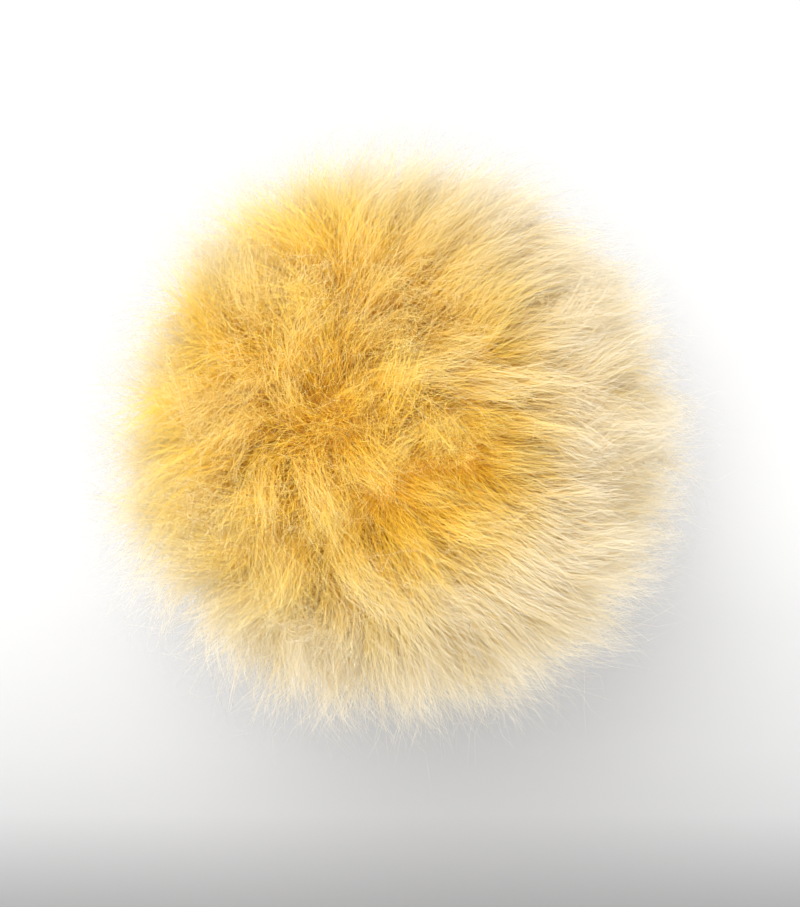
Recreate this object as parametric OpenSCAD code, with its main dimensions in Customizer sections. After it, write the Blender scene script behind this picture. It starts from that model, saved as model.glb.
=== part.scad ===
// Furry ball windscreen for an end-address microphone.
// A sewn fur cover fits over a two-half ball basket with a screw-down microphone clamp at its neck.
// Millimetres, +Z up along the microphone's axis. The origin is the centre of the underside.

/* [Basket] */
// Outer radius of the ball-shaped basket
basket_r = 31; // [30.5:0.25:31.5]
// Height of the ball's centre above the underside
centre_z = 42; // [42:0.25:43]
// Wall thickness of the moulded cages
cage_wall = 1.8; // [1.6:0.1:2]
// Number of ribs that run from the rim to the pole
rib_count = 20; // [12:4:24]
// Width of a rib
rib_w = 2; // [1.6:0.2:2.4]
// Width of the rings that tie the ribs together
hoop_w = 1.8; // [1.4:0.2:2.2]
// How far the two halves plug into each other
spigot_h = 3.6; // [2.5:0.1:4]

/* [Lining] */
// Thickness of the woven gauze inside each cage
gauze_t = 0.35; // [0.25:0.05:0.35]
// Thickness of the open-cell foam inside the gauze
foam_t = 3.2; // [2:0.2:4]

/* [Fur cover] */
// Number of sewn fur panels
panel_count = 4; // [4:1:6]
// Radial thickness of a fur panel, backing and pile together
pile_t = 19; // [16:0.5:20]
// Gap between the basket and the inside of the cover
cover_gap = 1; // [0.9:0.1:1.2]

/* [Microphone clamp] */
// Radius of the microphone body that the rubber sleeve grips
mic_r = 10; // [9.6:0.1:10]
// Wall of the rubber sleeve
sleeve_t = 1.5; // [1.5:0.1:1.8]
// Number of collet fingers
finger_count = 6; // [4:1:8]
// Number of finger grooves round the lock ring
groove_count = 24; // [16:2:30]
// Number of screws that hold the neck hub
screw_count = 4; // [3:1:6]

/* [Hidden] */
$fn = 96;

fur_gold = [0.93, 0.73, 0.36];
cuff_tan = [0.80, 0.62, 0.33];
cage_black = [0.10, 0.10, 0.11];
gauze_grey = [0.24, 0.24, 0.25];
foam_grey = [0.17, 0.17, 0.18];
rubber_black = [0.06, 0.06, 0.06];
elastic_white = [0.88, 0.86, 0.80];
steel = [0.72, 0.73, 0.75];
acetal = [0.85, 0.84, 0.80];
label_white = [0.93, 0.92, 0.88];

// Basket, from the outside in
cage_in = basket_r - cage_wall;
gauze_out = cage_in - 0.05;
gauze_in = gauze_out - gauze_t;
foam_out = gauze_in - 0.05;
foam_in = foam_out - foam_t;
rim_h = 4.4;
rim_in = cage_in + 0.05;
spigot_out = rim_in + 0.8;
spigot_fit = 0.05;
gasket_t = 0.6;
pole_cap_half_angle = 11;
front_hoops = [27, 49, 67];
rear_hoops = [-25];

// Neck, from the surface up
clamp_travel = 1;
lock_floor = 2.4;
lock_h = 11.4;
shoulder_z = lock_h + clamp_travel + 0.2;
flange_z = shoulder_z + 4;
seat_z = flange_z + 2.4;
seat_top = seat_z + 2.5;

// Clamp, from the microphone out
sleeve_out = mic_r + sleeve_t;
sleeve_fit = 0.03;
finger_out = sleeve_out + 1.4;
finger_z = 4.5;
finger_cone_h = 3.4;
finger_root_z = 14;
cone_step = 0.9;
cone_gap = 0.5;
thrust_out = 14.5;
hub_in = 14.6;
hub_out = 16.2;
lock_in = hub_out + 0.05;
lock_out = 19.4;
shoulder_out = 17.4;
flange_out = 19.9;
seat_out = 22.5;
screw_circle = 17.3;
screw_r = 1.05;
key_w = 2.4;

// Fur cover
cover_in = basket_r + cover_gap;
fur_out = cover_in + pile_t;
neck_in = flange_out + 0.4;
panel_step = 360 / panel_count;
seam_gap_angle = 0.3;
cuff_in = shoulder_out + 0.2;
cuff_z = shoulder_z + 0.3;
cuff_top = flange_z - 0.2;

module at_centre() {
    translate([0, 0, centre_z]) children();
}

// The space above (up = 1) or below (up = -1) a level measured from the ball's centre
module half_space(up, level) {
    size = 4 * basket_r;
    translate([-size / 2, -size / 2, up > 0 ? level : level - size]) cube(size);
}

module ball_shell(r_out, r_in) {
    difference() {
        sphere(r_out);
        sphere(r_in);
    }
}

module tube(r_out, r_in, z0, z1) {
    translate([0, 0, z0]) difference() {
        cylinder(r = r_out, h = z1 - z0);
        translate([0, 0, -1]) cylinder(r = r_in, h = z1 - z0 + 2);
    }
}

// A cage hoop: the part of the ball shell near one latitude
module hoop(latitude) {
    half = hoop_w / 2 / basket_r * 180 / PI;
    far = 2 * basket_r;
    rotate_extrude() intersection() {
        difference() {
            circle(basket_r);
            circle(cage_in);
        }
        polygon([
            [0, 0],
            [far * cos(latitude - half), far * sin(latitude - half)],
            [far * cos(latitude + half), far * sin(latitude + half)]
        ]);
    }
}

module ribs() {
    for (i = [0 : rib_count / 2 - 1])
        rotate([0, 0, i * 360 / rib_count])
            translate([-2 * basket_r, -rib_w / 2, -2 * basket_r])
                cube([4 * basket_r, rib_w, 4 * basket_r]);
}

module lattice(up, level) {
    intersection() {
        ball_shell(basket_r, cage_in);
        ribs();
        half_space(up, level);
    }
}

module front_cage() {
    color(cage_black) at_centre() {
        lattice(1, rim_h - 0.5);
        for (latitude = front_hoops) hoop(latitude);
        intersection() {
            ball_shell(basket_r, cage_in);
            cylinder(r = basket_r * sin(pole_cap_half_angle), h = 2 * basket_r);
        }
        intersection() {
            sphere(basket_r);
            tube(basket_r, spigot_out + spigot_fit, gasket_t + 0.02, rim_h);
        }
        intersection() {
            sphere(basket_r);
            tube(basket_r, cage_in, spigot_h + 0.3, rim_h + 0.6);
        }
    }
}

module rear_cage() {
    seat_low = seat_z - centre_z;
    seat_high = seat_top - centre_z;
    color(cage_black) at_centre() difference() {
        union() {
            lattice(-1, -rim_h + 0.5);
            for (latitude = rear_hoops) hoop(latitude);
            intersection() {
                sphere(basket_r);
                tube(basket_r, rim_in, -rim_h, 0);
            }
            tube(spigot_out, rim_in, -1, spigot_h);
            intersection() {
                sphere(basket_r);
                translate([0, 0, seat_low]) cylinder(r = seat_out, h = seat_high - seat_low);
            }
        }
        translate([0, 0, -2 * basket_r]) cylinder(r = hub_in, h = 2 * basket_r + seat_high + 5);
        half_space(-1, seat_low);
        screw_places(seat_low - 1) cylinder(r = screw_r + 0.05, h = 6);
    }
}

module gauze(up, level, hole_r) {
    color(gauze_grey) at_centre() difference() {
        intersection() {
            ball_shell(gauze_out, gauze_in);
            half_space(up, level);
        }
        if (hole_r > 0)
            translate([0, 0, -2 * basket_r]) cylinder(r = hole_r, h = 2 * basket_r);
    }
}

module foam(up, level, hole_r) {
    color(foam_grey) at_centre() difference() {
        intersection() {
            ball_shell(foam_out, foam_in);
            half_space(up, level);
        }
        if (hole_r > 0)
            translate([0, 0, -2 * basket_r]) cylinder(r = hole_r, h = 2 * basket_r);
    }
}

module rim_gasket() {
    color(rubber_black) at_centre() tube(basket_r - 0.15, spigot_out + 0.1, 0, gasket_t);
}

module screw_places(z) {
    for (i = [0 : screw_count - 1])
        rotate([0, 0, (i + 0.5) * 360 / screw_count]) translate([screw_circle, 0, z]) children();
}

module neck_hub() {
    color(cage_black) difference() {
        union() {
            tube(hub_out, hub_in, finger_z - 0.3, shoulder_z);
            tube(shoulder_out, hub_in, shoulder_z, flange_z);
            tube(flange_out, hub_in, flange_z, seat_z);
        }
        screw_places(flange_z + 0.6) cylinder(r = screw_r + 0.05, h = 6);
        for (turn = [0, 180])
            rotate([0, 0, turn])
                translate([hub_in - 1, -key_w / 2 - 0.2, finger_z - 1])
                    cube([1.9, key_w + 0.4, 6.2]);
    }
}

module hub_screws() {
    head_r = 2.1;
    head_h = 1.5;
    color(steel) screw_places(seat_top) difference() {
        union() {
            translate([0, 0, flange_z + 0.8 - seat_top]) cylinder(r = screw_r, h = seat_top - flange_z - 0.8 + 0.2);
            intersection() {
                cylinder(r = head_r, h = head_h);
                translate([0, 0, -1.9]) sphere(3.5);
            }
        }
        for (turn = [0, 90])
            rotate([0, 0, turn]) translate([-1.3, -0.25, 0.75]) cube([2.6, 0.5, 2]);
    }
}

module collet() {
    collar_z = finger_root_z + 0.5;
    color(acetal) difference() {
        rotate_extrude() polygon([
            [sleeve_out, finger_z],
            [finger_out - cone_step, finger_z],
            [finger_out, finger_z + finger_cone_h],
            [finger_out, collar_z],
            [hub_in - 0.05, collar_z],
            [hub_in - 0.05, seat_top],
            [sleeve_out, seat_top]
        ]);
        for (i = [0 : finger_count - 1])
            rotate([0, 0, i * 360 / finger_count])
                translate([sleeve_out - 2, -0.6, finger_z - 1])
                    cube([6, 1.2, finger_root_z - finger_z + 1]);
    }
}

module grip_sleeve() {
    lip_h = 1.5;
    lip_z = seat_top + 0.02;
    color(rubber_black) rotate_extrude() polygon([
        [mic_r, finger_z],
        [sleeve_out - sleeve_fit, finger_z],
        [sleeve_out - sleeve_fit, lip_z],
        [hub_in - 0.4, lip_z],
        [hub_in - 0.9, seat_top + lip_h],
        [mic_r + 0.8, seat_top + lip_h],
        [mic_r, seat_top + lip_h - 0.8]
    ]);
}

module thrust_ring() {
    low = lock_floor + 0.05;
    cone_z = finger_z - 0.3;
    cone_r = finger_out - cone_step + cone_gap;
    color(acetal) {
        rotate_extrude() polygon([
            [cone_r, low],
            [thrust_out, low],
            [thrust_out, cone_z + finger_cone_h],
            [cone_r + cone_step, cone_z + finger_cone_h],
            [cone_r, cone_z]
        ]);
        for (turn = [0, 180])
            rotate([0, 0, turn])
                translate([thrust_out - 0.5, -key_w / 2, finger_z + 0.5])
                    cube([1.2, key_w, 2.6]);
    }
}

module lock_ring() {
    color(cage_black) difference() {
        rotate_extrude() polygon([
            [mic_r + 1.4, 0.6],
            [mic_r + 2, 0],
            [lock_out - 0.6, 0],
            [lock_out, 0.6],
            [lock_out, lock_h - 0.8],
            [lock_out - 0.8, lock_h],
            [lock_in, lock_h],
            [lock_in, lock_floor],
            [mic_r + 1.4, lock_floor]
        ]);
        for (i = [0 : groove_count - 1])
            rotate([0, 0, i * 360 / groove_count])
                translate([lock_out + 0.5, 0, 1.2]) cylinder(r = 1.1, h = lock_h, $fn = 24);
    }
}

// The cover's cross-section from the axis outwards, as one panel is turned through its share
module panel_profile() {
    difference() {
        intersection() {
            translate([0, centre_z]) circle(fur_out);
            square([fur_out, centre_z + fur_out]);
        }
        translate([0, centre_z]) circle(cover_in);
        square([neck_in, centre_z]);
    }
}

module fur_panel(i) {
    color(fur_gold) rotate([0, 0, (i - 1) * panel_step + seam_gap_angle / 2])
        rotate_extrude(angle = panel_step - seam_gap_angle) panel_profile();
}

// The seam allowances inside the cover: a narrow folded tape along each joint between panels
module seam_tapes() {
    tape_in = cover_in - 0.6;
    tape_out = cover_in - 0.05;
    tape_w = 6;
    pole_gap = 5;
    color(cuff_tan) at_centre() intersection() {
        ball_shell(tape_out, tape_in);
        for (i = [0 : panel_count - 1])
            rotate([0, 0, i * panel_step]) difference() {
                translate([pole_gap, -tape_w / 2, -2 * basket_r]) cube([2 * basket_r, tape_w, 4 * basket_r]);
                translate([0, -tape_w, -3 * basket_r]) cube([neck_in + 1.5, 2 * tape_w, 3 * basket_r]);
            }
    }
}

// A knitted band folded over an elastic ring, which grips the hub's shoulder
module neck_cuff() {
    wall = 0.45;
    slit = 0.25;
    middle = (cuff_in + neck_in) / 2;
    color(cuff_tan) rotate_extrude() difference() {
        translate([cuff_in, cuff_z]) square([neck_in - cuff_in, cuff_top - cuff_z]);
        translate([cuff_in + wall, cuff_z + wall])
            square([neck_in - cuff_in - 2 * wall, cuff_top - cuff_z - 2 * wall]);
        translate([middle - slit / 2, cuff_z + wall]) square([slit, cuff_top]);
    }
}

module cuff_elastic() {
    middle = (cuff_in + neck_in) / 2;
    half_w = (neck_in - cuff_in) / 2 - 0.5;
    half_h = (cuff_top - cuff_z) / 2 - 0.5;
    color(elastic_white) rotate_extrude() translate([middle - half_w, (cuff_z + cuff_top) / 2 - half_h])
        square([2 * half_w, 2 * half_h]);
}

// A small blank woven label, sewn flat to the inside of the backing
module care_label() {
    label_w = 9;
    label_h = 13;
    label_t = 0.35;
    color(label_white) at_centre() intersection() {
        ball_shell(cover_in - 0.1, cover_in - 0.1 - label_t);
        rotate([0, 0, panel_step / 2]) translate([0, -label_w / 2, -label_h - 7])
            cube([2 * basket_r, label_w, label_h]);
    }
}

rear_cage();
gauze(-1, -0.3, seat_out - 0.8);  // rear_gauze
foam(-1, -0.3, seat_out - 0.6);  // rear_foam
neck_hub();
hub_screws();
collet();
grip_sleeve();
rim_gasket();
front_cage();
gauze(1, spigot_h + 0.3, 0);  // front_gauze
foam(1, 0.3, 0);  // front_foam
thrust_ring();
lock_ring();
neck_cuff();
cuff_elastic();
seam_tapes();
care_label();
for (i = [1:panel_count])
    fur_panel(i);
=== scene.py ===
"""A furry ball windscreen: long golden pile on a sewn cover, over a two-half ball basket."""

import math

import bmesh
import bpy
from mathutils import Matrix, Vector, noise


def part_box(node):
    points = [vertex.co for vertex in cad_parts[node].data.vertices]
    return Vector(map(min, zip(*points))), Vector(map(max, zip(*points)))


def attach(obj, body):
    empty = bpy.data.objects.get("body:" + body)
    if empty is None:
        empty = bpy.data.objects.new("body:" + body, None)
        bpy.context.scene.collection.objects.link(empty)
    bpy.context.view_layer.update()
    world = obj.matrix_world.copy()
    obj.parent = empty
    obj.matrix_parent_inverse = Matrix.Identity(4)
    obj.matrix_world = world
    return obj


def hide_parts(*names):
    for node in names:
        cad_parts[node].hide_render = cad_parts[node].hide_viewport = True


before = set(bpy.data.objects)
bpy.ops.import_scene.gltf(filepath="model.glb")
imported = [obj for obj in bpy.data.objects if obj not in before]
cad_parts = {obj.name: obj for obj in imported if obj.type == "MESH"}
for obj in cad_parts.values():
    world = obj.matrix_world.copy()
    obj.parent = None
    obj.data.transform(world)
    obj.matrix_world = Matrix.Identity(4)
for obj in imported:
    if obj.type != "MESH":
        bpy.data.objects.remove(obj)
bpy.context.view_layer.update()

MM = 0.001

# ---------------------------------------------------------------- places, from the frame

cage_low, cage_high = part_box("front_cage")
BASKET_R = (cage_high.x - cage_low.x) / 2
CENTRE = Vector((0, 0, cage_high.z - BASKET_R))
cuff_low, cuff_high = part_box("neck_cuff")
NECK_R = cuff_high.x
COVER_R = BASKET_R + 1.0 * MM
BACKING_T = 0.6 * MM
PANELS = [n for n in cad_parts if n.startswith("fur_panel_")]
QUARTER = 2 * math.pi / len(PANELS)
GAUZE_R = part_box("front_gauze")[1].x
TAPE_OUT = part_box("seam_tapes")[1].x

# ---------------------------------------------------------------- sizes that the frame doesn't hold

NECK_LONG = 1.4 * MM       # the backing's short neck, which the cuff is sewn to
NECK_CLEAR = 0.7 * MM      # from the neck to the lowest strands
HOLLOW_REACH = 12 * MM     # how far a hollow turns the pile
LIE = 0.8 * MM             # the lowest that a strand lies, just off the table
CUFF_DEEP = 2.7 * MM
CUFF_RIB = 1.2 * MM
TAPE_W, TAPE_T = 6.0 * MM, 0.42 * MM
LABEL_W, LABEL_T = 9.0 * MM, 0.30 * MM
INNER_GAP = 0.05 * MM      # from the backing to what is sewn inside it
STITCH_PITCH = 2.2 * MM
FOAM_T = 3.2 * MM

STRAND_MAP = "OFBake"
CLOTH_MAP = "cloth"


# ---------------------------------------------------------------- node trees as expressions

class Flow:
    """A value in a node tree. Python's operators on it add Math or Vector Math nodes."""

    def __init__(self, graph, socket):
        self.graph, self.socket = graph, socket

    def vector(self):
        return self.socket.type in ("VECTOR", "RGBA")

    def _math(self, operation, *values):
        settings = {"operation": operation}
        return self.graph.node("ShaderNodeMath", settings, dict(enumerate(values)))

    def _vector_math(self, operation, *values, output=0):
        settings = {"operation": operation}
        return self.graph.node("ShaderNodeVectorMath", settings, dict(enumerate(values)), output)

    def _pair(self, operation, first, second):
        vectors = [isinstance(v, tuple) or isinstance(v, Flow) and v.vector() for v in (first, second)]
        if not any(vectors):
            return self._math(operation, first, second)
        if operation == "MULTIPLY" and not all(vectors):
            vector, factor = (first, second) if vectors[0] else (second, first)
            sockets = {0: vector, "Scale": factor}
            return self.graph.node("ShaderNodeVectorMath", {"operation": "SCALE"}, sockets)
        return self._vector_math(operation, first, second)

    def __add__(self, other):
        return self._pair("ADD", self, other)

    def __radd__(self, other):
        return self._pair("ADD", other, self)

    def __sub__(self, other):
        return self._pair("SUBTRACT", self, other)

    def __rsub__(self, other):
        return self._pair("SUBTRACT", other, self)

    def __mul__(self, other):
        return self._pair("MULTIPLY", self, other)

    def __rmul__(self, other):
        return self._pair("MULTIPLY", other, self)

    def __truediv__(self, other):
        return self._math("DIVIDE", self, other)

    def __pow__(self, power):
        return self._math("POWER", self, power)

    def dot(self, other):
        return self._vector_math("DOT_PRODUCT", self, other, output="Value")

    def length(self):
        return self._vector_math("LENGTH", self, output="Value")

    def unit(self):
        return self._vector_math("NORMALIZE", self)

    def least(self, other):
        return self._math("MINIMUM", self, other)

    def most(self, other):
        return self._math("MAXIMUM", self, other)

    def clamped(self):
        """This value, held between 0 and 1."""
        return self.most(0.0).least(1.0)

    def fade(self, start, end, low=0.0, high=1.0):
        """Goes smoothly from low, where this value is start, to high, where it is end."""
        sockets = {"Value": self, "From Min": start, "From Max": end, "To Min": low, "To Max": high}
        return self.graph.node("ShaderNodeMapRange", {"interpolation_type": "SMOOTHSTEP"}, sockets)

    def wave(self, period):
        """A sine of this value, from -1 to 1, that repeats every period."""
        return self._math("SINE", self * (2 * math.pi / period))

    def size(self):
        """This value without its sign."""
        return self._math("ABSOLUTE", self)

    def over(self, edge):
        """1 where this value is greater than edge, or else 0."""
        return self._math("GREATER_THAN", self, edge)

    def part(self, axis):
        """One of the vector's parts: X, Y or Z."""
        return self.graph.node("ShaderNodeSeparateXYZ", {}, {0: self}, axis)


class Graph:
    """A node tree that is written as expressions."""

    def __init__(self, tree):
        self.tree = tree

    def node(self, kind, settings=None, sockets=None, output=0):
        """Adds one node. Settings are set first, then its sockets' values or links. Returns one output."""
        made = self.tree.nodes.new(kind)
        for name, value in (settings or {}).items():
            if name == "capture":
                for item, item_type in value.items():
                    made.capture_items.new(item_type, item)
            elif name == "ramp":
                set_ramp(made.color_ramp, value)
            else:
                setattr(made, name, value)
        for name, value in (sockets or {}).items():
            if isinstance(value, Flow):
                self.tree.links.new(value.socket, made.inputs[name])
            else:
                made.inputs[name].default_value = value
        return self.out(made, output)

    def out(self, made, output):
        if isinstance(output, (list, tuple)):
            return [Flow(self, made.outputs[name]) for name in output]
        return Flow(self, made.outputs[output])

    def surface(self, shader):
        """Makes this shader the material's surface."""
        self.tree.links.new(shader.socket, self.tree.nodes.new("ShaderNodeOutputMaterial").inputs["Surface"])

    def xyz(self, x, y, z):
        return self.node("ShaderNodeCombineXYZ", {}, {"X": x, "Y": y, "Z": z})

    def object_place(self):
        """Metres in the object's own space."""
        return self.node("ShaderNodeTexCoord", {}, {}, "Object")

    def ramp(self, value, *stops):
        """A colour that goes through stops, each a place from 0 to 1 and a colour."""
        return self.node("ShaderNodeValToRGB", {"ramp": stops}, {"Fac": value})

    def mix_colour(self, factor, first, second):
        sockets = {"Factor": factor, 6: first, 7: second}
        return self.node("ShaderNodeMix", {"data_type": "RGBA"}, sockets, 2)

    def noise(self, place, scale, detail=2.0, output="Color"):
        """Noise around zero, from about -1 to 1."""
        sockets = {"Vector": place, "Scale": scale, "Detail": detail}
        found = self.node("ShaderNodeTexNoise", {}, sockets, output)
        return found * 4 - ((2, 2, 2) if output == "Color" else 2)

    def chance(self, place, output="Value"):
        """A random value or colour from 0 to 1 for each place."""
        return self.node("ShaderNodeTexWhiteNoise", {}, {"Vector": place}, output)

    def blend(self, factor, first, second):
        sockets = {"Factor": factor, 4: first, 5: second}
        return self.node("ShaderNodeMix", {"data_type": "VECTOR"}, sockets, 1)


def set_ramp(ramp, stops):
    while len(ramp.elements) < len(stops):
        ramp.elements.new(1.0)
    for element, (place, colour) in zip(ramp.elements, stops):
        element.position, element.color = place, (*colour, 1.0)


# ---------------------------------------------------------------- geometry trees

def geometry_tree(name, inputs):
    """A geometry tree with a Geometry input and output and these named inputs: {name: (type, default)}."""
    tree = bpy.data.node_groups.new(name, "GeometryNodeTree")
    tree.interface.new_socket("Geometry", in_out="INPUT", socket_type="NodeSocketGeometry")
    for title, (kind, default) in inputs.items():
        socket = tree.interface.new_socket(title, in_out="INPUT", socket_type=kind)
        if default is not None:
            socket.default_value = default
    tree.interface.new_socket("Geometry", in_out="OUTPUT", socket_type="NodeSocketGeometry")
    graph = Graph(tree)
    group_in = tree.nodes.new("NodeGroupInput")
    return graph, {s.name: Flow(graph, s) for s in group_in.outputs if s.name}


def close_tree(graph, geometry):
    out = graph.tree.nodes.new("NodeGroupOutput")
    graph.tree.links.new(geometry.socket, out.inputs[0])


def run_tree(obj, graph, values, name):
    """Runs a geometry tree on obj and returns a new object with the result as a plain mesh."""
    modifier = obj.modifiers.new("make", "NODES")
    modifier.node_group = graph.tree
    identifiers = {s.name: s.identifier for s in graph.tree.interface.items_tree if s.in_out == "INPUT"}
    for title, value in values.items():
        modifier[identifiers[title]] = value
    depsgraph = bpy.context.evaluated_depsgraph_get()
    mesh = bpy.data.meshes.new_from_object(obj.evaluated_get(depsgraph))
    obj.modifiers.remove(modifier)
    mesh.name = name
    made = bpy.data.objects.new(name, mesh)
    bpy.context.collection.objects.link(made)
    return made


# ---------------------------------------------------------------- surfaces

def skin(name, place, columns, rows, size, material, around=False, looped=False, pole=False, walls=2):
    """A grid of faces through place(across, along, depth), from 0 to 1 across and along.

    Depth 0 is the outer wall and 1 the inner. Around joins the last column to the first, and looped the
    last row. A pole is where the first row meets in one point. The map is in metres of cloth, size across
    and along.
    """
    grid = bmesh.new()
    cloth = grid.loops.layers.uv.new(CLOTH_MAP)
    column_count, row_count = columns + (not around), rows + (not looped)
    points = [[[grid.verts.new(place(i / columns, j / rows, depth)) for i in range(column_count)]
               for j in range(row_count)] for depth in range(walls)]

    def face(*corners):
        made = grid.faces.new([points[d][j % row_count][i % column_count] for d, j, i in corners])
        made.smooth = True
        for loop, (d, j, i) in zip(made.loops, corners):
            loop[cloth].uv = (i / columns * size[0], j / rows * size[1])

    for j in range(rows):
        for i in range(columns):
            face((0, j, i), (0, j + 1, i), (0, j + 1, i + 1), (0, j, i + 1))
            if walls == 2:
                face((1, j, i), (1, j, i + 1), (1, j + 1, i + 1), (1, j + 1, i))
    if walls == 2 and not around:
        for j in range(rows):
            face((0, j + 1, 0), (0, j, 0), (1, j, 0), (1, j + 1, 0))
            face((0, j, columns), (0, j + 1, columns), (1, j + 1, columns), (1, j, columns))
    if walls == 2 and not looped:
        for i in range(columns):
            if not pole:
                face((0, 0, i), (0, 0, i + 1), (1, 0, i + 1), (1, 0, i))
            face((0, rows, i + 1), (0, rows, i), (1, rows, i), (1, rows, i + 1))
    bmesh.ops.remove_doubles(grid, verts=grid.verts, dist=1e-6)
    if (walls == 2 or looped) and grid.calc_volume(signed=True) < 0:
        bmesh.ops.reverse_faces(grid, faces=grid.faces)
    mesh = bpy.data.meshes.new(name)
    grid.to_mesh(mesh)
    grid.free()
    mesh.materials.append(material)
    obj = bpy.data.objects.new(name, mesh)
    bpy.context.collection.objects.link(obj)
    return obj


def on_ball(radius, polar, turn, sideways=0.0):
    """A point on a ball about the centre: polar from the nose, turned about Z, then moved sideways."""
    out = Vector((math.sin(polar) * math.cos(turn), math.sin(polar) * math.sin(turn), math.cos(polar)))
    side = Vector((-math.sin(turn), math.cos(turn), 0))
    return CENTRE + (out * radius + side * sideways).normalized() * radius


# ---------------------------------------------------------------- materials

def new_material(name):
    material = bpy.data.materials.new(name)
    material.use_nodes = True
    material.node_tree.nodes.clear()
    return material, Graph(material.node_tree)


def pile_material():
    """Fine fibre: golden at the root and cream at the tip, lit from both sides."""
    material, g = new_material("golden_pile")
    strand = g.node("ShaderNodeUVMap", {"uv_map": STRAND_MAP}, {}, "UV")
    tone, along = strand.part("X"), strand.part("Y")
    deep = g.ramp(along, (0.0, (0.77, 0.44, 0.02)), (0.4, (0.93, 0.63, 0.05)),
                  (0.75, (0.96, 0.80, 0.18)), (1.0, (0.95, 0.90, 0.58)))
    pale = g.ramp(along, (0.0, (0.77, 0.44, 0.02)), (0.35, (0.95, 0.72, 0.18)),
                  (0.65, (0.94, 0.85, 0.62)), (1.0, (0.92, 0.89, 0.82)))
    colour = g.mix_colour(tone, deep, pale)
    body = g.node("ShaderNodeBsdfPrincipled", {}, {
        "Base Color": colour, "Roughness": 0.55, "Specular IOR Level": 0.06}, "BSDF")
    gold = g.node("ShaderNodeBsdfTranslucent", {}, {"Color": (0.96, 0.79, 0.24, 1)}, "BSDF")
    cream = g.node("ShaderNodeBsdfTranslucent", {}, {"Color": (0.90, 0.85, 0.76, 1)}, "BSDF")
    paleness = (tone * (0.4 + along)).clamped()
    glow = g.node("ShaderNodeMixShader", {}, {0: paleness, 1: gold, 2: cream})
    g.surface(g.node("ShaderNodeMixShader", {}, {0: 0.6, 1: body, 2: glow}))
    return material


def cloth_place(g):
    """Metres across and along the piece's own cloth."""
    place = g.node("ShaderNodeUVMap", {"uv_map": CLOTH_MAP}, {}, "UV")
    return place, place.part("X"), place.part("Y")


def ball_place(g, radius):
    """Metres round and down a ball about the centre."""
    out = g.object_place() - tuple(CENTRE)
    turn = g.node("ShaderNodeMath", {"operation": "ARCTAN2"}, {0: out.part("Y"), 1: out.part("X")})
    flat = g.xyz(out.part("X"), out.part("Y"), 0.0).length()
    polar = g.node("ShaderNodeMath", {"operation": "ARCTAN2"}, {0: flat, 1: out.part("Z")})
    return turn * radius, polar * radius


def finish(g, dark, light, mix, rough, height, depth, **constants):
    """One shader: its colour goes from dark to light with mix, and its bump has this height and depth."""
    colour = g.mix_colour(mix, (*dark, 1), (*light, 1))
    bump = g.node("ShaderNodeBump", {}, {"Height": height, "Distance": depth, "Strength": 0.8}, "Normal")
    sockets = {"Base Color": colour, "Roughness": rough, "Normal": bump}
    sockets.update({name.replace("_", " "): value for name, value in constants.items()})
    g.surface(g.node("ShaderNodeBsdfPrincipled", {}, sockets, "BSDF"))


def knit_back():
    """The dyed base cloth: fine wales, close enough to hide what is under it."""
    material, g = new_material("base_cloth")
    place, across, along = cloth_place(g)
    wale = across.wave(1.1 * MM)
    loops = wale * 0.5 + (along + wale * 0.2 * MM).wave(0.8 * MM) * 0.5
    worn = g.noise(place, 90.0, 3.0, "Fac")
    finish(g, (0.62, 0.35, 0.03), (0.80, 0.52, 0.10), (loops * 0.25 + worn * 0.25 + 0.5).clamped(),
           0.9, loops, 0.12 * MM)
    return material


def ribbed_knit():
    """Elasticated rib: deep valleys between ribs, painted darker as shade, with fine stitches along them."""
    material, g = new_material("ribbed_knit")
    place, across, along = cloth_place(g)
    rib = across.wave(CUFF_RIB)
    stitch = (along + rib * 0.15 * MM).wave(0.7 * MM)
    lint = g.noise(place, 900.0, 3.0, "Fac")
    # painted shade: the rib wave makes the colour darker in the valleys and paler on the ribs
    mix = (rib * 0.3 + stitch * 0.15 + lint * 0.15 + 0.55).clamped()
    finish(g, (0.40, 0.27, 0.09), (0.86, 0.68, 0.38), mix, 0.85, rib * 0.6 + stitch * 0.4, 0.15 * MM)
    return material


def woven_tape():
    """Herringbone tape, folded and sewn over a seam."""
    material, g = new_material("woven_tape")
    place, across, along = cloth_place(g)
    twill = (along + (across - TAPE_W / 2).size() * 1.2).wave(0.7 * MM)
    thread = across.wave(0.35 * MM)
    soil = g.noise(place, 250.0, 3.0, "Fac")
    mix = (twill * 0.3 + thread * 0.1 + soil * 0.2 + 0.55).clamped()
    finish(g, (0.55, 0.42, 0.21), (0.86, 0.73, 0.47), mix, 0.8, twill + thread * 0.5, 0.08 * MM)
    return material


def satin_label():
    """Blank satin: close weft floats with a soft gloss, and painted shade darkening it along its folded
    edges.
    """
    material, g = new_material("satin_label")
    _, across, along = cloth_place(g)
    weft, warp = along.wave(0.28 * MM), across.wave(0.9 * MM)
    # painted shade along the folded edges
    painted_fold_shade = (across - LABEL_W / 2).size().fade(LABEL_W / 2 - 0.9 * MM, LABEL_W / 2 - 0.5 * MM)
    mix = (weft * 0.12 + warp * 0.06 - painted_fold_shade * 0.25 + 0.8).clamped()
    rough = (weft * 0.06 + 0.42).most(0.0)
    finish(g, (0.66, 0.64, 0.58), (0.95, 0.94, 0.90), mix, rough, weft + warp * 0.4, 0.03 * MM)
    return material


def braided_elastic():
    """Elastic with a crossed braid."""
    material, g = new_material("braided_elastic")
    _, across, along = cloth_place(g)
    braid = (across + along * 1.6).wave(0.8 * MM) * (across - along * 1.6).wave(0.8 * MM)
    finish(g, (0.55, 0.53, 0.47), (0.90, 0.88, 0.82), braid * 0.35 + 0.6, 0.7, braid, 0.08 * MM)
    return material


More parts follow.
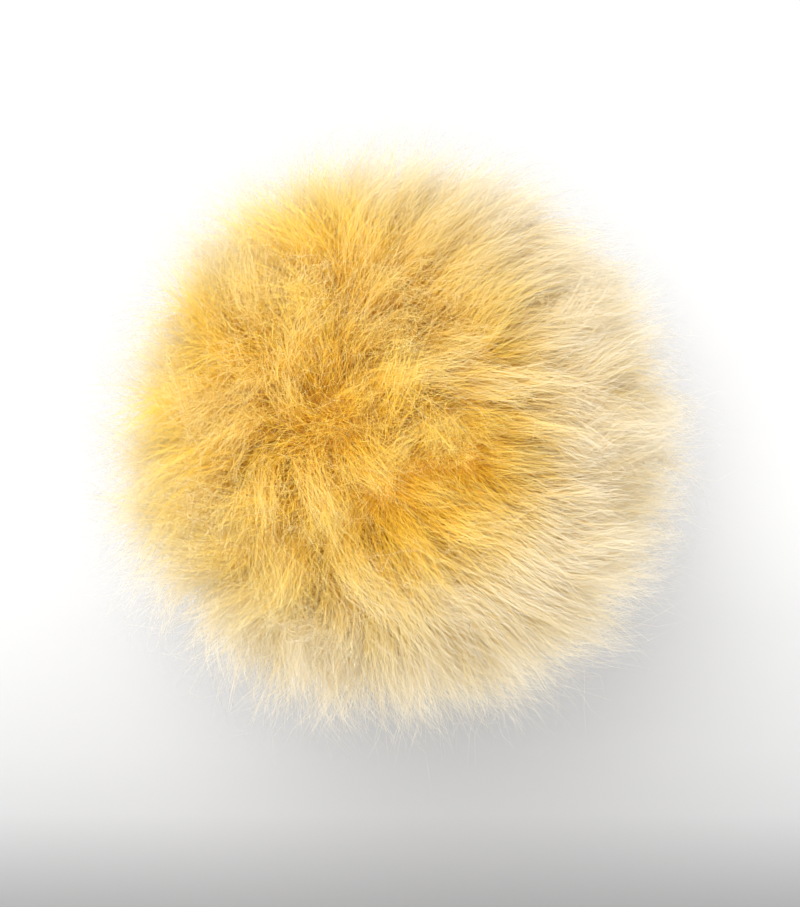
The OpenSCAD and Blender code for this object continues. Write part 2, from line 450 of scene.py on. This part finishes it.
def sewing_thread():
    """Twisted thread: fine diagonal plies."""
    material, g = new_material("sewing_thread")
    place = g.object_place()
    ply = (place.part("X") + place.part("Y") + place.part("Z")).wave(0.22 * MM)
    finish(g, (0.62, 0.46, 0.20), (0.90, 0.76, 0.45), ply * 0.4 + 0.55, 0.6, ply, 0.04 * MM)
    return material


def open_foam():
    """Charcoal open-cell foam: a net of charcoal struts round pores that are painted near-black as shade."""
    material, g = new_material("open_foam")
    place = g.object_place()
    pore, small = (
        g.node("ShaderNodeTexVoronoi", {"feature": "F1"}, {"Vector": place, "Scale": scale}, "Distance")
        for scale in (1500.0, 3200.0))
    # painted shade: the colour falls to near black in the pores between the struts
    net = (pore * 0.9 + small * 0.5).fade(0.25, 0.95)
    finish(g, (0.008, 0.008, 0.010), (0.085, 0.085, 0.095), net, 0.95, net, 0.25 * MM)
    return material


def wire_gauze():
    """Fine woven gauze, with open holes between its wires, and a painted highlight and painted shade on
    alternate crossings.
    """
    material, g = new_material("wire_gauze")
    turn, down = ball_place(g, GAUZE_R)
    pitch = 0.9 * MM
    warp, weft = turn.wave(pitch), down.wave(pitch)
    over_under = turn.wave(pitch * 2) * down.wave(pitch * 2)
    wires = warp.most(weft)
    open_holes = wires.over(0.15)
    # painted highlight and shade: the colour is lighter where a wire lies over and darker where it passes
    # under
    mix = (over_under * 0.5 + 0.5).most(0.0)
    colour = g.mix_colour(mix, (0.02, 0.02, 0.022, 1), (0.09, 0.09, 0.095, 1))
    bump = g.node("ShaderNodeBump", {}, {"Height": wires + over_under * 0.4, "Distance": 0.12 * MM}, "Normal")
    g.surface(g.node("ShaderNodeBsdfPrincipled", {}, {
        "Base Color": colour, "Roughness": 0.45, "Alpha": open_holes, "Normal": bump}, "BSDF"))
    return material


def moulded(name, dark, light, rough, grain=1.0):
    """Moulded plastic: spark-eroded grain, faint flow marks and a little handling shine."""
    material, g = new_material(name)
    place = g.object_place()
    texture = g.node("ShaderNodeTexNoise", {}, {"Vector": place, "Scale": 5500.0, "Detail": 3.0}, "Fac")
    flow = g.noise(place * (1, 1, 0.25), 160.0, 4.0, "Fac")
    shine = g.noise(place, 45.0, 2.0, "Fac")
    mix = (flow * 0.35 + texture * 0.3 + 0.3).clamped()
    rough = (rough + shine * 0.07 + flow * 0.04).most(0.1)
    finish(g, dark, light, mix, rough, texture * grain + flow * 0.1, 0.05 * MM, Specular_IOR_Level=0.3)
    return material


def soft_rubber():
    """Matte rubber with a bloom of dust in its low places."""
    material, g = new_material("soft_rubber")
    place = g.object_place()
    bloom = g.noise(place, 220.0, 4.0, "Fac")
    speck = g.node("ShaderNodeTexNoise", {}, {"Vector": place, "Scale": 4000.0, "Detail": 4.0}, "Fac")
    mix = (bloom * 0.4 + speck * 0.3 + 0.3).clamped()
    finish(g, (0.008, 0.008, 0.009), (0.026, 0.025, 0.024), mix, (bloom * 0.06 + 0.72).most(0.1),
           speck, 0.04 * MM)
    return material


def satin_steel():
    """Turned screw steel: fine marks about the axis."""
    material, g = new_material("satin_steel")
    place = g.object_place()
    from_axis = g.xyz(place.part("X"), place.part("Y"), 0.0).length()
    ring = (from_axis + g.noise(place, 900.0, 2.0, "Fac") * 0.03 * MM).wave(0.16 * MM)
    smear = g.noise(place, 500.0, 3.0, "Fac")
    mix = (ring * 0.2 + smear * 0.2 + 0.6).clamped()
    rough = (smear * 0.08 + ring * 0.04 + 0.32).most(0.1)
    finish(g, (0.42, 0.42, 0.43), (0.72, 0.72, 0.73), mix, rough, ring, 0.01 * MM, Metallic=1.0)
    return material


# ---------------------------------------------------------------- the cover

def gore(name, start, end, material, walls=2):
    """One panel's backing: a gore of the ball from the nose, with a short neck to sew the cuff to.

    Returns it with its cloth's size, across and along, and the cloth's area.
    """
    neck_angle = math.pi - math.asin(NECK_R / COVER_R)
    neck_share = 0.96

    def place(across, along, depth):
        radius = COVER_R + BACKING_T * (1 - depth)
        turn = start + (end - start) * across
        point = on_ball(radius, neck_angle * min(1.0, along / neck_share), turn)
        if along > neck_share:
            point.z -= NECK_LONG * (along - neck_share) / (1 - neck_share)
        return point

    wide = (end - start) * COVER_R
    long = neck_angle * COVER_R + NECK_LONG
    backing = skin(name, place, 24, 50, (wide, long), material, pole=True, walls=walls)
    cut_area = (end - start) * (COVER_R ** 2 * (1 - math.cos(neck_angle)) + NECK_R * NECK_LONG)
    return backing, (wide, long), cut_area


def hollows():
    """Short lines on the nose of the cover, from which the pile lies away and shows its golden roots, and
    near which the strands are painted deeper golden as shade.

    Their points are millimetres from the axis. A line that is sunk below the cloth opens the pile less.
    """
    lines = [[(-8, -3), (-6, -5)], [(-2, -15), (3, -12.5), (7, -11), (10, -10)]]
    sunk = [5.0, 0.0]
    points, edges = [], []
    for line, sink in zip(lines, sunk):
        for number, (x, y) in enumerate(line):
            if number:
                edges.append((len(points) - 1, len(points)))
            z = math.sqrt((COVER_R / MM) ** 2 - x * x - y * y) - sink
            points.append(CENTRE + Vector((x, y, z)) * MM)
    mesh = bpy.data.meshes.new("hollows")
    mesh.from_pydata(points, edges, [])
    obj = bpy.data.objects.new("hollows", mesh)
    bpy.context.collection.objects.link(obj)
    return obj


def nearest_lock(g, root, lock_size):
    """The middle, on the cover, of the lock that each strand belongs to."""
    centre = tuple(CENTRE)
    ball = g.node("GeometryNodeMeshIcoSphere", {}, {"Radius": COVER_R, "Subdivisions": 5}, "Mesh")
    ball = g.node("GeometryNodeTransform", {}, {"Geometry": ball, "Translation": centre})
    locks = g.node("GeometryNodeDistributePointsOnFaces", {"distribute_method": "POISSON"}, {
        "Mesh": ball, "Distance Min": lock_size, "Density Max": 1.0e6, "Seed": 7}, "Points")
    nearest = g.node("GeometryNodeSampleNearest", {}, {"Geometry": locks, "Sample Position": root})
    lock = g.node("GeometryNodeSampleIndex", {"data_type": "FLOAT_VECTOR"}, {
        "Geometry": locks, "Value": g.node("GeometryNodeInputPosition"), "Index": nearest})
    return centre + (lock - centre).unit() * COVER_R


def comb_pile(g, given, root, lock):
    """How strands lean: away from the hollows, then to the right and down, each a little its own way.

    Returns the lean, how near a hollow is, from 0 to 1, and the way out of the ball.
    """
    lines = g.node("GeometryNodeObjectInfo", {"transform_space": "ORIGINAL"}, {
        0: given["Hollows"]}, "Geometry")
    middle = g.blend(0.6, root, lock)
    line_place, distance = g.node("GeometryNodeProximity", {"target_element": "EDGES"}, {
        0: lines, "Sample Position": middle}, ("Position", "Distance"))
    out = (middle - tuple(CENTRE)).unit()
    away = middle - line_place
    away = (away - out * away.dot(out)).unit()
    near = distance.fade(0.0, HOLLOW_REACH, 1.0, 0.0)
    right, droop = right_side(out), out.part("Z").fade(0.3, -0.5, 0.10, 0.60)
    comb = away * (near * 0.66) + g.xyz(0.25 + right * 0.44, -0.05, 0 - droop)
    loose = 0.42 - right * 0.12
    half = (0.5, 0.5, 0.5)
    comb = comb + (g.chance(lock * 1000, "Color") - half) * (given["Unruly"] * loose * 2.4)
    comb = comb + (g.chance(root * 1000 + (5, 5, 5), "Color") - half) * (given["Stray"] * (loose * 4.0))
    comb = comb + g.noise(middle, 90.0, 2.0) * 0.30
    return comb - out * comb.dot(out), near, out


def right_side(out):
    """From 0 on the left of the ball to 1 on its right."""
    return out.part("X").fade(-0.25, 0.45)


def keep_clear(g, at):
    """Strands lie over the table, and the lowest ones lie outside the neck and its ring."""
    soft = 2.5 * MM
    neck_end, basket = 16.5 * MM, 18.5 * MM
    above = g.node("ShaderNodeMath", {"operation": "SMOOTH_MAX"}, {0: at.part("Z"), 1: LIE, 2: soft})
    from_axis = g.xyz(at.part("X"), at.part("Y"), 0.0).length()
    spread = (above.fade(neck_end, basket, NECK_R + NECK_CLEAR, 0.0) / from_axis).most(1.0)
    return g.xyz(at.part("X") * spread, at.part("Y") * spread, above)


def fibre_mesh(g, strands, along, tone, radius):
    """Three-sided tapered fibres along strands. Their map holds the tone, with a little of the place
    across the fibre, and the place along it."""
    strands, along, tone = g.node(
        "GeometryNodeCaptureAttribute", {"capture": {"along": "FLOAT", "tone": "FLOAT"}},
        {"Geometry": strands, "along": along, "tone": tone}, ("Geometry", "along", "tone"))
    profile = g.node("GeometryNodeCurvePrimitiveCircle", {}, {"Resolution": 3, "Radius": 1.0})
    factor = g.node("GeometryNodeSplineParameter", {}, {}, "Factor")
    profile, across = g.node("GeometryNodeCaptureAttribute", {"capture": {"across": "FLOAT"}},
                             {"Geometry": profile, "across": factor}, ("Geometry", "across"))
    fibres = g.node("GeometryNodeCurveToMesh", {}, {
        "Curve": strands, "Profile Curve": profile, "Scale": radius, "Fill Caps": True})
    fibres = g.node("GeometryNodeMergeByDistance", {}, {"Geometry": fibres, "Distance": 0.005 * MM})
    return g.node("GeometryNodeStoreNamedAttribute", {"data_type": "FLOAT2", "domain": "CORNER"}, {
        "Geometry": fibres, "Name": STRAND_MAP, "Value": g.xyz(tone * 0.95 + across * 0.05, along, 0.0)})


def pile_tree(material):
    """Strands of pile on a backing: each is a tapered fibre that leans with its lock."""
    g, given = geometry_tree("pile", {
        "Hollows": ("NodeSocketObject", None),
        "Density": ("NodeSocketFloat", 4.0e6),
        "Segments": ("NodeSocketInt", 4),
        "Length": ("NodeSocketFloat", 20.0 * MM),
        "Root radius": ("NodeSocketFloat", 0.06 * MM),
        "Lock size": ("NodeSocketFloat", 6.0 * MM),
        "Lock pull": ("NodeSocketFloat", 0.6),
        "Frizz": ("NodeSocketFloat", 1.2 * MM),
        "Curl": ("NodeSocketFloat", 0.0),
        "Unruly": ("NodeSocketFloat", 1.0),
        "Stray": ("NodeSocketFloat", 0.3),
        "Bend": ("NodeSocketFloat", 0.8),
        "Tone": ("NodeSocketFloat", 0.0),
        "Seed": ("NodeSocketInt", 1),
    })
    # sparser near the neck
    place = g.node("GeometryNodeInputPosition")
    density = given["Density"] * place.part("Z").fade(10 * MM, 50 * MM, 0.55, 1.1)
    points = g.node("GeometryNodeDistributePointsOnFaces", {"distribute_method": "RANDOM"}, {
        "Mesh": given["Geometry"], "Density": density, "Seed": given["Seed"]}, "Points")
    points, root = g.node("GeometryNodeCaptureAttribute", {"capture": {"root": "VECTOR"}},
                          {"Geometry": points, "root": place}, ("Geometry", "root"))
    line = g.node("GeometryNodeCurvePrimitiveLine", {}, {"End": (0, 0, MM)})
    line = g.node("GeometryNodeResampleCurve", {}, {"Curve": line, "Count": given["Segments"] + 1})
    factor = g.node("GeometryNodeSplineParameter", {}, {}, "Factor")
    line, along = g.node("GeometryNodeCaptureAttribute", {"capture": {"along": "FLOAT"}},
                         {"Geometry": line, "along": factor}, ("Geometry", "along"))
    strands = g.node("GeometryNodeInstanceOnPoints", {}, {"Points": points, "Instance": line})
    strands = g.node("GeometryNodeRealizeInstances", {}, {"Geometry": strands})

    up = (root - tuple(CENTRE)).unit()
    lock = nearest_lock(g, root, given["Lock size"])
    luck, lock_luck = g.chance(root * 1000), g.chance(lock * 1000)
    comb, near, out = comb_pile(g, given, root, lock)

    # shorter in the hollows, longer at the front
    size = given["Length"] * (0.60 + luck ** 2.0 * 0.52) * (1 + g.noise(lock, 60.0, 0.0, "Fac") * 0.12)
    size = size * (1 - near ** 2.0 * 0.55) * out.part("Y").fade(-0.2, -0.8, 1.0, 1.14)

    # straight out at the root, then bent over, gathered into its lock, frizzed and curled
    chord = (up + comb * (0.30 + along ** 1.5 * given["Bend"])).unit()
    at = root + chord * (size * along)
    at = at + (lock - root) * (given["Lock pull"] * (0.75 + lock_luck * 0.4) * along ** 1.4)
    own = g.chance(root * 1000, "Color") * 0.2
    at = at + g.noise(at + own, 170.0, 1.0) * (given["Frizz"] * along)
    curl = along.fade(0.2, 0.8, 0.0, 1.4 - right_side(out) * 0.5)
    at = at + g.noise(at + own, 420.0, 0.0) * (given["Curl"] * curl)
    strands = g.node("GeometryNodeSetPosition", {}, {"Geometry": strands, "Position": keep_clear(g, at)})

    # cream to the right, at the back and down the sides; deeper golden near the hollows as painted shade
    cream = up.dot((-0.28, 0.03, 0.96)).fade(0.84, 0.34) + out.part("X").fade(-0.3, 0.6, -0.16, 0.27)
    cream = cream + out.part("Y").fade(0.0, 0.7) * 0.18
    # painted shade: near a hollow the tone drops towards deep golden
    tone = luck * 0.30 + lock_luck * 0.45 + g.noise(lock, 90.0, 1.0, "Fac") * 0.15 - near * 0.45
    tone = (tone + cream + given["Tone"]).clamped()

    fibres = fibre_mesh(g, strands, along, tone, given["Root radius"] * (1 - along ** 1.5 * 0.97))
    fibres = g.node("GeometryNodeSetShadeSmooth", {}, {"Geometry": fibres})
    fibres = g.node("GeometryNodeRealizeInstances", {}, {"Geometry": fibres})
    fibres = g.node("GeometryNodeSetMaterial", {}, {"Geometry": fibres, "Material": material})
    close_tree(g, fibres)
    return g


PILE_LAYERS = {
    "under": {
        "Density": 2.4e6, "Segments": 3, "Length": 16.0 * MM, "Root radius": 0.055 * MM, "Tone": -0.30,
        "Lock size": 3.5 * MM, "Lock pull": 0.35, "Frizz": 1.8 * MM, "Unruly": 0.6, "Stray": 0.6},
    "top": {
        "Density": 3.0e6, "Segments": 4, "Length": 20.5 * MM, "Root radius": 0.048 * MM, "Tone": -0.10,
        "Lock size": 4.8 * MM, "Lock pull": 0.90, "Frizz": 1.5 * MM, "Unruly": 1.3, "Stray": 0.25},
    "curls": {
        "Density": 1.40e6, "Segments": 6, "Length": 22.0 * MM, "Root radius": 0.038 * MM, "Tone": 0.10,
        "Lock size": 4.8 * MM, "Lock pull": 0.65, "Frizz": 2.8 * MM, "Unruly": 1.2, "Stray": 0.9,
        "Curl": 0.95 * MM, "Bend": 1.3},
}


def make_panels():
    """Four gores of pile cloth."""
    pile, cloth = pile_material(), knit_back()
    graph = pile_tree(pile)
    lines = hollows()
    for index, panel in enumerate(PANELS):
        start, end, number = index * QUARTER, (index + 1) * QUARTER, index + 1
        ground, _, _ = gore("ground", start, end, cloth, walls=1)
        for layer_number, (layer, values) in enumerate(PILE_LAYERS.items()):
            made = run_tree(ground, graph, {"Hollows": lines, "Seed": 10 * index + layer_number, **values},
                            f"pile_{layer}_{number}")
            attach(made, "fur_cover")
        bpy.data.objects.remove(ground)
        backing, flat, area = gore(f"backing_{number}", start, end, cloth)
        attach(backing, "fur_cover")
        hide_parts(panel)
    bpy.data.objects.remove(lines)


def stitch_tree(material):
    """Short stitches along lines: each is a plump thread end that lies along its line."""
    g, given = geometry_tree("stitches", {
        "Pitch": ("NodeSocketFloat", STITCH_PITCH),
        "Length": ("NodeSocketFloat", 1.5 * MM),
        "Thickness": ("NodeSocketFloat", 0.24 * MM),
    })
    rows = g.node("GeometryNodeMeshToCurve", {}, {"Mesh": given["Geometry"]})
    rows = g.node("GeometryNodeResampleCurve", {"mode": "LENGTH"}, {"Curve": rows, "Length": given["Pitch"]})
    along = g.node("GeometryNodeInputTangent")
    turn = g.node("FunctionNodeAlignRotationToVector", {"axis": "X"}, {"Vector": along})
    stitch = g.node("GeometryNodeMeshUVSphere", {}, {"Segments": 6, "Rings": 4, "Radius": 0.5}, "Mesh")
    size = g.xyz(given["Length"], given["Thickness"], given["Thickness"])
    made = g.node("GeometryNodeInstanceOnPoints", {}, {
        "Points": rows, "Instance": stitch, "Rotation": turn, "Scale": size})
    made = g.node("GeometryNodeRealizeInstances", {}, {"Geometry": made})
    made = g.node("GeometryNodeSetShadeSmooth", {}, {"Geometry": made})
    made = g.node("GeometryNodeSetMaterial", {}, {"Geometry": made, "Material": material})
    close_tree(g, made)
    return g


def sew(name, graph, rows, slot, **sizes):
    """Sews along rows of points, each an open line."""
    points, edges = [], []
    for row in rows:
        edges += [(len(points) + i, len(points) + i + 1) for i in range(len(row) - 1)]
        points += row
    mesh = bpy.data.meshes.new("rows")
    mesh.from_pydata(points, edges, [])
    line = bpy.data.objects.new("rows", mesh)
    bpy.context.collection.objects.link(line)
    made = run_tree(line, graph, sizes, name)
    bpy.data.objects.remove(line)
    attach(made, "fur_cover")
    return made


def make_tapes(thread):
    """Tape over each seam inside the cover, sewn down along both edges."""
    material = woven_tape()
    tape_low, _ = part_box("seam_tapes")
    start = math.asin(5.0 * MM / TAPE_OUT)
    end = math.acos((tape_low.z + 0.3 * MM - CENTRE.z) / TAPE_OUT)
    long = (end - start) * TAPE_OUT

    def place_on(turn):
        def place(across, along, depth):
            sideways = (across - 0.5) * TAPE_W
            pucker = 0.05 * MM * math.sin(along * long / STITCH_PITCH * 2 * math.pi) * abs(across - 0.5) * 2
            radius = TAPE_OUT - INNER_GAP - TAPE_T * depth + pucker
            return on_ball(radius, start + (end - start) * along, turn, sideways)
        return place

    rows = []
    for index in range(len(PANELS)):
        place = place_on(index * QUARTER)
        tape = skin(f"seam_tape_{index + 1}", place, 8, 110, (TAPE_W, long), material)
        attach(tape, "fur_cover")
        if index == 0:
            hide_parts("seam_tapes")
        for edge in (0.14, 0.86):
            rows.append([place(edge, step / 60, 1.1) for step in range(61)])
    sew("tape_stitches", thread, rows, "seam_tape")


def make_label(thread):
    """A blank satin label on the inside of one panel, with its free end lifting a little."""
    low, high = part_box("care_label")
    radius = TAPE_OUT - INNER_GAP
    turn, long = math.pi / len(PANELS), high.z - low.z

    def place(across, along, depth):
        sideways = (across - 0.5) * LABEL_W
        polar = math.acos((high.z - long * along - CENTRE.z) / radius)
        lift = 0.22 * MM * along ** 3 * (1 + 0.4 * math.sin(across * 5))
        return on_ball(radius - LABEL_T * depth - lift, polar, turn, sideways)

    label = skin("care_label_blank", place, 16, 24, (LABEL_W, long), satin_label())
    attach(label, "fur_cover")
    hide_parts("care_label")
    rows = [[place(step / 12, 0.08, 1.0) for step in range(1, 12)]]
    sew("label_stitches", thread, rows, "label", Pitch=1.6 * MM, Length=1.1 * MM, Thickness=0.18 * MM)


def make_cuff(thread):
    """The gathered rib cuff round the neck, with its elastic inside."""
    middle, half = NECK_R - CUFF_DEEP / 2, (cuff_high.z + 0.1 * MM - cuff_low.z) / 2
    level = cuff_low.z + half

    def round_neck(turn, ring, rise):
        return Vector((ring * math.cos(turn), ring * math.sin(turn), level + rise))

    def place(across, along, depth):
        turn, round_it = 2 * math.pi * across, 2 * math.pi * along
        side, rise = math.cos(round_it), -math.sin(round_it)
        gather = 0.10 * math.sin(turn * 19 + 0.8 * math.sin(turn * 3)) + 0.05 * math.sin(turn * 106)
        reach = CUFF_DEEP / 2 * (1 - 0.12 + (gather if side > 0 else 0))
        ring = middle + reach * math.copysign(abs(side) ** 0.6, side)
        return round_neck(turn, ring, half * math.copysign(abs(rise) ** 0.75, rise))

    girth, section = 2 * math.pi * NECK_R, 9.0 * MM
    cuff = skin("rib_cuff", place, 424, 16, (girth, section), ribbed_knit(),
                around=True, looped=True, walls=1)
    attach(cuff, "fur_cover")
    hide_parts("neck_cuff")

    def elastic_place(across, along, depth):
        turn, round_it = 2 * math.pi * across, 2 * math.pi * along
        return round_neck(turn, middle + 0.45 * MM * math.cos(round_it), -1.0 * MM * math.sin(round_it))

    elastic = skin("cuff_braid", elastic_place, 160, 8, (girth, 5.0 * MM), braided_elastic(),
                   around=True, looped=True, walls=1)
    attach(elastic, "fur_cover")
    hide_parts("cuff_elastic")
    outer = NECK_R + BACKING_T + 0.02 * MM
    row = [Vector((outer * math.cos(t), outer * math.sin(t), cuff_high.z - 0.3 * MM))
           for t in (2 * math.pi * step / 180 for step in range(181))]
    sew("cuff_stitches", thread, [row], "cuff_knit", Pitch=2.6 * MM, Length=1.8 * MM)


def make_cover():
    make_panels()
    thread = stitch_tree(sewing_thread())
    make_tapes(thread)
    make_label(thread)
    make_cuff(thread)


# ---------------------------------------------------------------- the basket

def make_foam(node, body, start, end, material):
    """A foam liner inside the gauze, from one polar angle to another, with a rough open surface."""
    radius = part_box(node)[1].x

    def place(across, along, depth):
        point = on_ball(radius - FOAM_T * depth, start + (end - start) * along, 2 * math.pi * across)
        rough = noise.noise(point * 900.0) * 0.10 * MM + noise.noise(point * 250.0) * 0.06 * MM
        inward = (CENTRE - point).normalized()
        return point + inward * (abs(rough) if depth == 0 else -abs(rough))

    size = (2 * math.pi * radius, (end - start) * radius)
    foam = skin(node + "_liner", place, 96, 40, size, material, around=True, pole=start == 0)
    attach(foam, body)
    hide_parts(node)


def make_basket():
    """The foam liners, and a finish for every moulded, woven and turned part that keeps its own shape."""
    foam = open_foam()
    front_low, front_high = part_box("front_foam")
    _, rear_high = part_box("rear_foam")

    def polar(level):
        return math.acos((level - CENTRE.z) / front_high.x)

    rear_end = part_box("rear_gauze")[0].z - 0.5 * MM
    make_foam("front_foam", "front_basket", 0.0, polar(front_low.z), foam)
    make_foam("rear_foam", "rear_basket", polar(rear_high.z), polar(rear_end), foam)

    cage = moulded("cage_nylon", (0.006, 0.006, 0.007), (0.016, 0.016, 0.018), 0.55)
    ring = moulded("ring_nylon", (0.009, 0.009, 0.010), (0.022, 0.022, 0.025), 0.45, 1.4)
    collet = moulded("collet_acetal", (0.66, 0.65, 0.59), (0.84, 0.83, 0.78), 0.34, 0.4)
    gauze, rubber, steel = wire_gauze(), soft_rubber(), satin_steel()
    finishes = {
        "rear_cage": cage, "front_cage": cage, "neck_hub": cage, "lock_ring": ring,
        "thrust_ring": collet, "collet": collet, "rear_gauze": gauze, "front_gauze": gauze,
        "grip_sleeve": rubber, "rim_gasket": rubber, "hub_screws": steel}
    for node, material in finishes.items():
        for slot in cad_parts[node].material_slots:
            slot.material = material


# ---------------------------------------------------------------- stage, light and camera

def make_stage():
    """White paper under a bright room and two soft lights, with painted shade in its colour: darker in a band
    towards the front, standing in for the light's falloff, and paler again beyond.
    """
    bpy.ops.mesh.primitive_plane_add(size=6.0)
    floor = bpy.context.object
    floor.name = "floor"
    material, g = new_material("paper_painted_falloff")
    back = g.object_place().part("Y")
    # painted shade: the paper's colour darkens towards the front of the picture, as a painted falloff of the
    # light, then grows paler again further out
    painted_falloff = back.fade(-0.09, -0.40) + back.fade(-0.10, 0.0)
    painted_falloff_greys = ((0.0, 0.11), (0.11, 0.13), (0.34, 0.25), (0.51, 0.285), (0.83, 0.33), (1.0, 0.37))
    paper = g.ramp(painted_falloff, *((place, (grey, grey, grey)) for place, grey in painted_falloff_greys))
    g.surface(g.node("ShaderNodeBsdfPrincipled", {}, {"Base Color": paper, "Roughness": 0.8}, "BSDF"))
    floor.data.materials.append(material)

    world = bpy.data.worlds.new("studio")
    bpy.context.scene.world = world
    world.use_nodes = True
    background = world.node_tree.nodes["Background"]
    background.inputs["Color"].default_value = (1, 1, 1, 1)
    background.inputs["Strength"].default_value = 1.92

    def area(name, place, size, power):
        light = bpy.data.lights.new(name, "AREA")
        light.shape, light.size, light.energy = "DISK", size, power
        obj = bpy.data.objects.new(name, light)
        bpy.context.collection.objects.link(obj)
        obj.location = place
        obj.rotation_euler = (CENTRE - Vector(place)).to_track_quat("-Z", "Y").to_euler()

    area("key", (-0.30, 0.28, 0.80), 0.8, 8.0)
    area("fill", (0.05, -0.45, 0.80), 0.9, 5.0)


def make_camera():
    """A short telephoto lens, almost straight above."""
    data = bpy.data.cameras.new("camera")
    data.lens, data.sensor_width = 85, 36
    camera = bpy.data.objects.new("camera", data)
    bpy.context.collection.objects.link(camera)
    elevation, distance = math.radians(78), 0.354
    aim = CENTRE + Vector((0.4, -3.8, 0.0)) * MM
    back = Vector((0, -math.cos(elevation), math.sin(elevation)))
    camera.location = aim + back * distance
    camera.rotation_euler = (-back).to_track_quat("-Z", "Y").to_euler()
    bpy.context.scene.camera = camera


make_camera()
make_stage()
make_cover()
make_basket()
bpy.context.scene.view_settings.view_transform = "Standard"
bpy.context.scene.cycles.diffuse_bounces = 8
